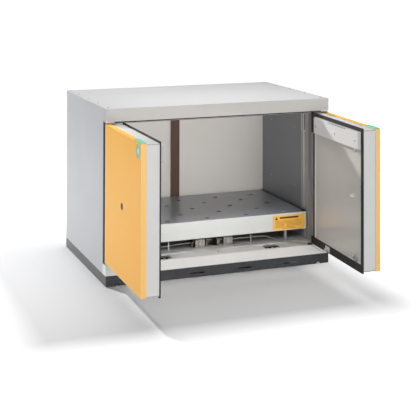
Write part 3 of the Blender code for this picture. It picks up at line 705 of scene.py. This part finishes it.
for side in ("left", "right"):
    def badge(bm, c):
        add_plate(bm, c, circle(386.5, 520.6, 21.5, 48), -0.35, -0.02, "XZ", 0)

    def badge_mark(bm, c):
        add_plate(bm, c, [(392.5, 536.0), (379.0, 520.6), (392.5, 505.2), (392.5, 513.5),
                          (397.0, 513.5), (397.0, 527.7), (392.5, 527.7)], -0.45, -0.36, "XZ", 0)

    door_piece("door_badge", side, badge, ["badge"])
    door_piece("door_badge_arrow", side, badge_mark, ["badge_mark"])

    def lock_rim(bm, c):
        add_rev(bm, c, (209.7, 0.0, 313.9), "Y",
                [(-0.05, 8.6), (-0.7, 8.9), (-0.9, 10.6), (-0.5, 11.4), (-0.05, 11.6)], 36)
    door_piece("lock_escutcheon", side, lock_rim, ["escutcheon"])

    def hinge_strip(bm, c):
        add_box(bm, c, 4.2, 21.6, 65.2, 66.0, 104.0, 478.0)
    door_piece("hinge_side_strip", side, hinge_strip, ["strip_grey"], bevel=0.3)

    # painted shade: a row of dark boxes on the cover box where its slots are
    def notch_shade(bm, c):
        for k in range(12):
            a0 = 172.0 + 12.0 * k
            add_box(bm, c, a0, a0 + 6.0, 74.0, 77.15, 534.4, 537.7)
    door_piece("cover_box_notch_shade", side, notch_shade, ["dark"])

    def bush(bm, c):
        add_rev(bm, c, (5.0, 6.0, 548.3), "Z", [(0.0, 2.6), (0.0, 5.2), (2.4, 5.2), (2.9, 4.4), (2.9, 2.6)], 24)
    door_piece("hinge_bush", side, bush, ["bronze"])

    # painted highlight: a 1 mm strip of the lighter yellow along the skin's fold at the free end
    def fold_highlight(bm, c):
        add_box(bm, c, 401.0, 402.0, -0.12, 0.05, 80.5, 546.5)
    door_piece("skin_fold_highlight", side, fold_highlight, ["yellow_highlight"])

    def screws(bm, c):
        for a in (69.0, 227.0, 383.0):
            add_rev(bm, c, (a, 77.0, 508.0), "Y",
                    [(-0.1, 4.2), (0.6, 4.2), (1.5, 3.7), (2.1, 2.5), (2.2, 0.9), (1.4, 0.7), (1.4, 0.1)], 20)
    door_piece("cover_box_screws", side, screws, ["zinc"])

    def hook(bm, c):
        add_box(bm, c, 352.0, 368.0, 62.0, 70.0, 478.4, 481.6)
        pts = [c(360.0, 66.0, 479.0), c(360.0, 66.0, 473.0), c(361.0, 66.5, 468.0),
               c(364.0, 67.0, 465.0), c(367.0, 67.0, 467.0), c(367.5, 67.0, 470.5)]
        add_tube(bm, smooth_path(pts, 5), 1.4, 10)
    door_piece("cover_box_hook", side, hook, ["zinc"])

    def knob(bm, c):
        add_rev(bm, c, (330.0, 56.0, 315.0), "Y",
                [(-0.1, 7.0), (1.2, 7.2), (2.2, 6.2), (3.0, 4.4), (6.5, 4.2), (7.8, 5.4),
                 (8.6, 5.2), (9.2, 3.8), (9.4, 1.0)], 28)
    door_piece("panel_knob", side, knob, ["white"])

    def panel_bits(bm, c):
        for a, z in ((60.0, 140.0), (60.0, 440.0), (210.0, 130.0), (370.0, 140.0), (388.0, 300.0)):
            add_rev(bm, c, (a, 56.0, z), "Y", [(-0.1, 2.4), (0.5, 2.4), (0.8, 1.5), (0.8, 0.2)], 16)
    door_piece("panel_rivets", side, panel_bits, ["zinc"])

    def catch(bm, c):
        add_box(bm, c, 331.0, 365.0, 56.2, 57.6, 101.8, 119.0)
        add_rev(bm, c, (338.0, 63.0, 111.0), "Y", [(-5.6, 5.0), (-1.0, 5.0), (-0.2, 4.2), (0.0, 0.6)], 20)
        add_rev(bm, c, (356.0, 63.0, 109.6), "Y", [(-5.6, 6.0), (-1.0, 6.0), (-0.2, 5.0), (0.0, 0.6)], 20)
        pts = [c(338.0, 63.2, 115.0), c(344.0, 64.2, 118.4), c(352.0, 64.2, 117.0), c(356.0, 63.2, 112.5)]
        add_tube(bm, smooth_path(pts, 5), 0.9, 8)
    door_piece("low_catch", side, catch, ["zinc"], bevel=0.2)

    def fitting(bm, c):
        for a in (133.5, 159.5):
            add_rev(bm, c, (a, 67.4, 94.2), "Y", [(-0.1, 2.6), (0.7, 2.6), (1.3, 2.0), (1.5, 0.6)], 18)
        add_rev(bm, c, (142.0, 73.9, 85.2), "Y", [(-0.1, 3.9), (0.9, 3.9), (1.1, 3.0), (3.0, 3.0), (3.4, 2.4), (3.4, 0.3)], 6)
        add_rev(bm, c, (156.5, 75.4, 88.5), "Y", [(-0.1, 3.2), (1.2, 3.2), (1.7, 2.4), (1.9, 0.6)], 6)
    door_piece("wire_fitting", side, fitting, ["rail"])

    def seams(bm, c):
        add_box(bm, c, 417.45, 417.75, 19.0, 59.6, 543.6, 544.6)
        add_box(bm, c, 417.45, 417.75, 19.0, 59.6, 81.6, 82.6)
    door_piece("casing_end_seams", side, seams, ["black"])

    # the closer wire: fixed at its guide, bent by the door between guide and bracket
    dm = door_matrix(side)
    gx = 771.0 if side == "right" else W - 771.0
    g = P(gx, 1.6, 72.0)
    e = dm @ DL(side)(142.0, 76.0, 85.2)
    low = dm @ DL(side)(112.0, 73.5, 72.0)
    mid = g.lerp(low, 0.5)
    bm = bmesh.new()
    inner = P(gx + (-2.0 if side == "right" else 2.0), 6.0, 72.0)
    up = dm @ DL(side)(132.0, 76.0, 77.5)
    path = smooth_path([inner, g, mid, low, up, e], 8)
    add_tube(bm, path, 0.9, 10)
    me = bpy.data.meshes.new(side + "_closer_wire")
    bmesh.ops.recalc_face_normals(bm, faces=bm.faces[:])
    bm.to_mesh(me)
    bm.free()
    me.materials.append(M["steel"])
    me.shade_smooth()
    wire = bpy.data.objects.new(side + "_closer_wire", me)
    bpy.context.scene.collection.objects.link(wire)
    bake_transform(wire)

# painted shade: a dark box in the keyway of each lock plug
for side in ("left", "right"):
    bm = bmesh.new()
    add_box(bm, DL(side), 208.6, 210.8, -0.15, 0.6, 309.2, 318.6)
    ob = finish_mesh(side + "_key_slot_shade", bm, ["dark"], side + "_lock_plug", door_matrix(side))

# ------------------------------------------------------------------- studio
bm = bmesh.new()
R_ = 14.0
vs = [bm.verts.new((x, y, -0.0006)) for x, y in ((-R_, -R_), (R_, -R_), (R_, R_), (-R_, R_))]
bm.faces.new(vs)
me = bpy.data.meshes.new("studio_floor")
bm.to_mesh(me)
bm.free()
fl = Nodes("studio_floor_white")
fl.put("Base Color", fl.scaled(rgb(229, 229, 230), fl.rng(fl.noise(1.3, 3.0, 0.5), 0.99, 1.01)))
fl.put("Roughness", 0.75)
fl.put("Specular IOR Level", 0.2)
# painted light: the floor glows white to the camera outside a band round the cabinet, fading in over 0.3 m, so
# the floor reads plain white and the cast shadow ends inside the band
fl.put("Emission Color", (1.0, 1.0, 1.0, 1.0))
where = fl.new("ShaderNodeSeparateXYZ")
fl.link(fl.coord.outputs["Object"], where.inputs[0])
off_x = fl.math("MAXIMUM", fl.math("SUBTRACT", fl.math("ABSOLUTE", fl.math("ADD", where.outputs["X"], 0.22),
                                                       0.0), 0.50), 0.0)
off_y = fl.math("MAXIMUM", fl.math("SUBTRACT", fl.math("ABSOLUTE", fl.math("ADD", where.outputs["Y"], 0.20),
                                                       0.0), 0.52), 0.0)
away = fl.math("SQRT", fl.math("ADD", fl.math("MULTIPLY", off_x, off_x),
                               fl.math("MULTIPLY", off_y, off_y)), 0.0)
seen = fl.new("ShaderNodeLightPath")
fl.put("Emission Strength", fl.math("MULTIPLY", fl.rng(away, 0.0, 1.0, 0.0, 0.30),
                                    seen.outputs["Is Camera Ray"]))
me.materials.append(fl.mat)
floor = bpy.data.objects.new("studio_floor", me)
bpy.context.scene.collection.objects.link(floor)

world = bpy.data.worlds.new("studio")
bpy.context.scene.world = world
world.use_nodes = True
wt = world.node_tree
bg = wt.nodes["Background"]
bg.inputs["Color"].default_value = (1.0, 1.0, 1.0, 1.0)
bg.inputs["Strength"].default_value = 0.06
bg2 = wt.nodes.new("ShaderNodeBackground")
bg2.inputs["Color"].default_value = (1.0, 1.0, 1.0, 1.0)
bg2.inputs["Strength"].default_value = 1.05
lp = wt.nodes.new("ShaderNodeLightPath")
mixw = wt.nodes.new("ShaderNodeMixShader")
wt.links.new(lp.outputs["Is Camera Ray"], mixw.inputs[0])
wt.links.new(bg.outputs[0], mixw.inputs[1])
wt.links.new(bg2.outputs[0], mixw.inputs[2])
wt.links.new(mixw.outputs[0], wt.nodes["World Output"].inputs["Surface"])


def area(name, loc, target, size, power, colour=(1.0, 1.0, 1.0), size_y=None):
    li = bpy.data.lights.new(name, "AREA")
    li.energy = power
    li.color = colour
    li.size = size
    if size_y is not None:
        li.shape = "RECTANGLE"
        li.size_y = size_y
    ob = bpy.data.objects.new(name, li)
    ob.location = loc
    ob.rotation_euler = (Vector(target) - Vector(loc)).to_track_quat("-Z", "Y").to_euler()
    bpy.context.scene.collection.objects.link(ob)
    return ob


def hidden(ob, spread):
    """Fills are seen only by what they light"""
    ob.data.spread = math.radians(spread)
    ob.visible_camera = False
    ob.visible_glossy = False


area("softbox_overhead", (0.0, 0.60, 2.45), (0.0, -0.1, 0.4), 0.8, 16.0)
area("key_over_left", (-1.5, 2.25, 2.05), (0.3, -0.3, 0.45), 0.18, 100.0)
area("softbox_left", (-3.0, 0.1, 0.9), (-0.4, 0.0, 0.3), 1.4, 4.0)
area("softbox_left_front", (-2.8, -2.2, 0.55), (0.0, 0.0, 0.3), 1.2, 22.0)
area("softbox_front", (0.0, -3.6, 0.50), (0.0, 0.0, 0.3), 1.2, 37.0)
area("softbox_right_front", (2.2, -3.0, 0.50), (0.0, 0.0, 0.3), 1.2, 15.0)
area("softbox_right", (3.0, 0.0, 1.2), (0.0, 0.0, 0.3), 1.4, 26.0)
area("strip_over_top", (0.05, -0.25, 1.25), (0.05, -0.25, 0.6), 1.0, 5.2, size_y=0.12)
hidden(area("low_fill", (0.0, -0.72, 0.27), (0.0, 0.2, 0.33), 0.45, 0.30, size_y=0.12), 80.0)
hidden(area("sill_fill", (0.0, -0.33, 0.52), (0.0, -0.18, 0.07), 0.66, 0.13, size_y=0.03), 44.0)

cam_data = bpy.data.cameras.new("camera")
cam = bpy.data.objects.new("camera", cam_data)
bpy.context.scene.collection.objects.link(cam)
bpy.context.scene.camera = cam
YAW, PITCH, ROLL = -0.370417, 0.022138, -0.002653
CAM_AT = Vector((-1.442354, -3.859020, 1.118361))
rot = (Matrix.Rotation(YAW, 3, "Z") @ Matrix.Rotation(PITCH, 3, "X") @ Matrix.Rotation(ROLL, 3, "Y"))
basis = Matrix((rot.col[0], rot.col[2], -rot.col[1])).transposed()
cam.matrix_world = Matrix.Translation(CAM_AT) @ basis.to_4x4()
cam_data.sensor_width = 36.0
cam_data.lens = 1088.279 * 36.0 / 416.0
cam_data.clip_start, cam_data.clip_end = 0.05, 60.0

# the lens shift belongs to this one viewpoint, so it is off wherever else the camera stands
for prop, value in (("shift_x", (208.0 - 208.688) / 416.0), ("shift_y", (-67.357 - 208.0) / 416.0)):
    drv = cam_data.driver_add(prop).driver
    drv.type = "SCRIPTED"
    for tag, idx in (("x", 0), ("y", 1)):
        v = drv.variables.new()
        v.name = tag
        v.type = "SINGLE_PROP"
        v.targets[0].id_type = "OBJECT"
        v.targets[0].id = cam
        v.targets[0].data_path = "location[%d]" % idx
    drv.expression = "%.6f if abs(x - %.6f) + abs(y - %.6f) < 0.0005 else 0.0" % (
        value, CAM_AT.x, CAM_AT.y)

bpy.context.scene.view_settings.view_transform = "Standard"
bpy.context.scene.view_settings.look = "None"
